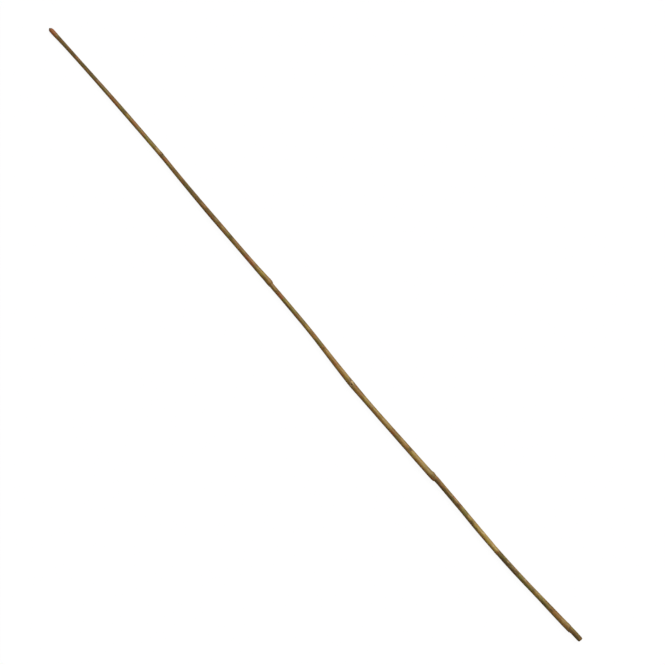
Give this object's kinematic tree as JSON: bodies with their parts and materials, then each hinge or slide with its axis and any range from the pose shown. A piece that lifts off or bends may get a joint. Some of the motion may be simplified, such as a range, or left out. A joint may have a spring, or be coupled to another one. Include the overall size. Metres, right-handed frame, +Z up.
{
  "type": "bamboo cane",
  "caption": "Long thin natural bamboo cane, slightly bowed and kinked, with stepped node rings, branch scars and sawn ends, lying on a surface.",
  "frame": {"origin": "on the surface the cane lies on, under the middle of its box", "axes": "+X runs from the thin end to the thick end, +Y is the side that faces the upper right of the picture, +Z is up, towards the picture's camera"},
  "size_m": [1.8002, 0.0264, 0.016],
  "materials": {
    "cane": "weathered bamboo skin, satin, mottled olive, tan and rust brown"
  },
  "bodies": {
    "root": {"cane": "cane"}
  },
  "joints": []
}
